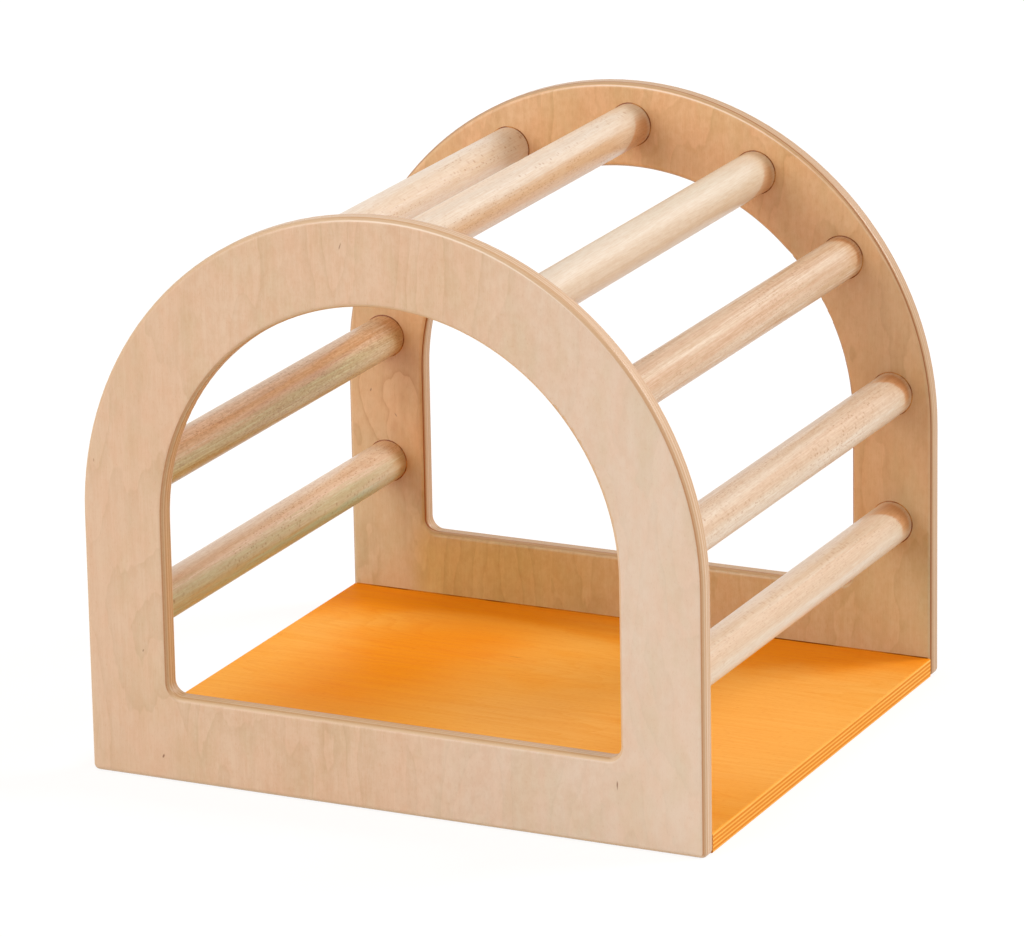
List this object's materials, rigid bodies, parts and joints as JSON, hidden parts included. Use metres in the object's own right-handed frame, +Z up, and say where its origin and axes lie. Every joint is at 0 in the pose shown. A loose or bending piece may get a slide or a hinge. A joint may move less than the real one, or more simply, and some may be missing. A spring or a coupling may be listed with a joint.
{
  "type": "climbing arch",
  "caption": "Wooden climbing arch for small children: arched plywood side panels with a doorway through each, joined by round rungs and by a stained floor board.",
  "frame": {"origin": "middle of the base, on the surface that the arch stands on", "axes": "+X across the doorways to the right, +Y through the tunnel from the front panel to the back panel, +Z up"},
  "size_m": [0.6, 0.54, 0.54],
  "materials": {
    "birch_ply": "clear satin lacquer over birch plywood, with the plies showing along rounded edges",
    "beech": "clear satin lacquer over turned beech",
    "orange_ply": "orange stain under satin lacquer on birch plywood",
    "dowel_beech": "plain beech, not lacquered"
  },
  "bodies": {
    "root": {"front_panel": "birch_ply", "back_panel": "birch_ply", "floor_panel": "orange_ply", "crown_rung": "beech", "left_haunch_rung": "beech", "right_haunch_rung": "beech", "left_shoulder_rung": "beech", "right_shoulder_rung": "beech", "left_upper_leg_rung": "beech", "right_upper_leg_rung": "beech", "left_lower_leg_rung": "beech", "right_lower_leg_rung": "beech", "front_floor_dowels": "dowel_beech", "back_floor_dowels": "dowel_beech"}
  },
  "joints": []
}
